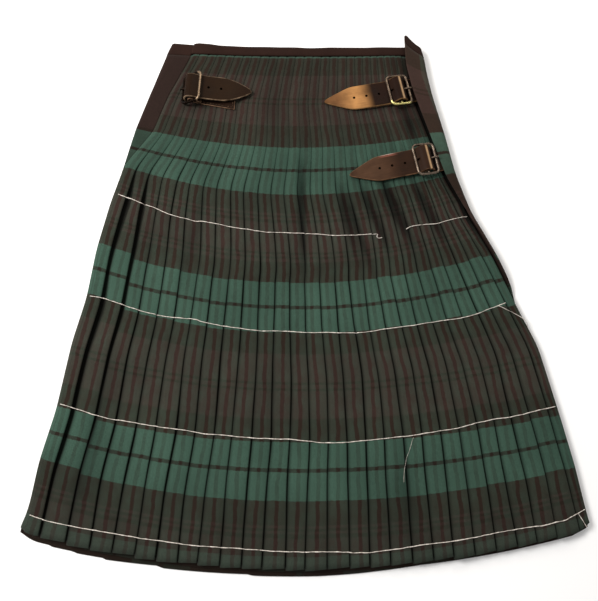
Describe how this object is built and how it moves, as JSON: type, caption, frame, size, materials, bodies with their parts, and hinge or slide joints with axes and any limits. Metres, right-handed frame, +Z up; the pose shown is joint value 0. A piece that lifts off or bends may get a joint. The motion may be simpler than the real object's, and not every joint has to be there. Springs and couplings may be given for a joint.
{
  "type": "scottish kilt",
  "caption": "Knee-length tartan wool kilt laid flat, pleated back up, aprons underneath, with leather straps and buckles at both hips.",
  "frame": {"origin": "on the surface the kilt lies on, under the middle of its bounding box", "axes": "+X to the right seen from above with the waist at the far side, +Y from the hem to the waist, +Z up through the layers"},
  "size_m": [0.5789, 0.6172, 0.028],
  "materials": {
    "tartan_wool": "twilled wool, green, red-brown and near-black check",
    "waist_binding": "dark brown wool binding",
    "leather": "dark brown, worn and creased",
    "antique_bronze": "dull antique bronze, bright on its edges"
  },
  "bodies": {
    "root": {"over_apron": "tartan_wool", "under_apron": "tartan_wool", "pleated_back": "tartan_wool", "waistband_back": "waist_binding", "waistband_apron": "waist_binding", "waistband_under": "waist_binding", "strap_left": "leather", "strap_right_upper": "leather", "strap_right_lower": "leather", "chape_left": "leather", "chape_right_upper": "leather", "chape_right_lower": "leather", "buckle_frame_left": "antique_bronze", "buckle_frame_right_upper": "antique_bronze", "buckle_frame_right_lower": "antique_bronze", "prong_left": "antique_bronze", "prong_right_upper": "antique_bronze", "prong_right_lower": "antique_bronze"}
  },
  "joints": []
}
